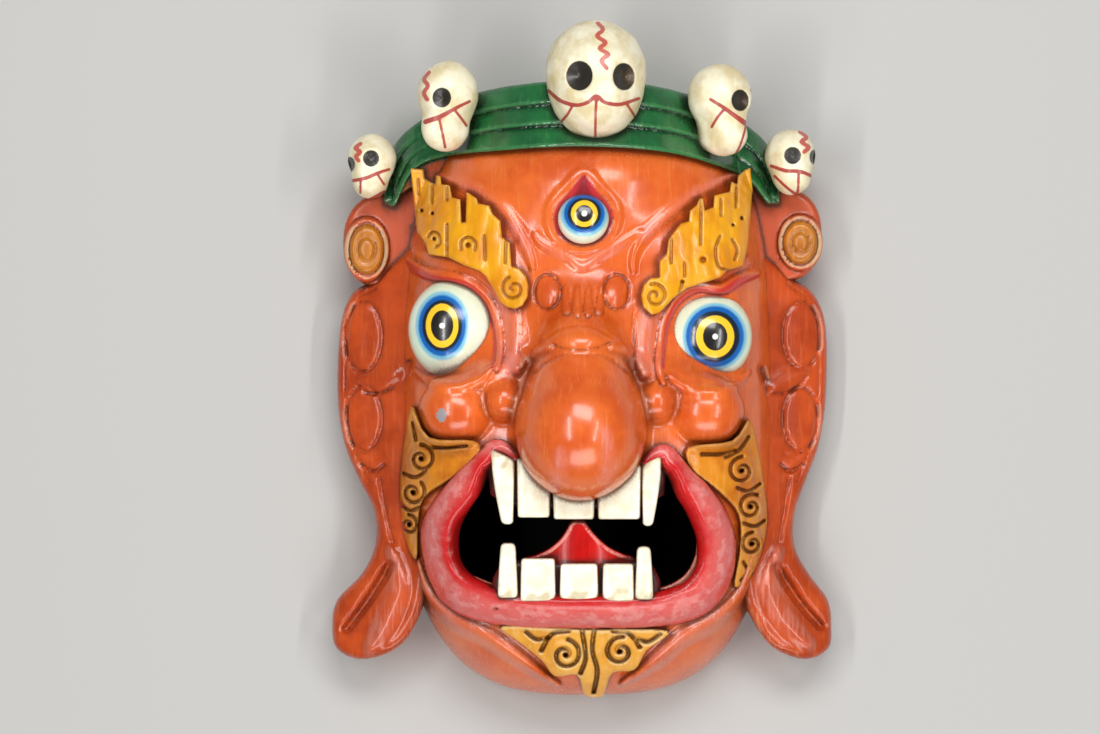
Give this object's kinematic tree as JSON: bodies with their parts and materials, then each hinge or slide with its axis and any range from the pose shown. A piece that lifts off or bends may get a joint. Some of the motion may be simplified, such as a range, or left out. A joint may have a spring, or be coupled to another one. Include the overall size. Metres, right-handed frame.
{
  "type": "carved wooden dance mask",
  "caption": "Wrathful carved and painted wooden dance mask with bulging eyes, open fanged mouth, large ears and a crown of skulls, hollow behind, lying on its back.",
  "frame": {"origin": "centre of the mask's bounding box in plan, at the height of the flat back rim it lies on", "axes": "+Z out of the face, away from the wearer; +Y towards the crown; +X to the right as seen from the front"},
  "size_m": [0.3, 0.3997, 0.1577],
  "materials": {
    "painted_wood": "semi-gloss brushed paint over carved wood"
  },
  "bodies": {
    "root": {"carved_mask": "painted_wood"}
  },
  "joints": []
}
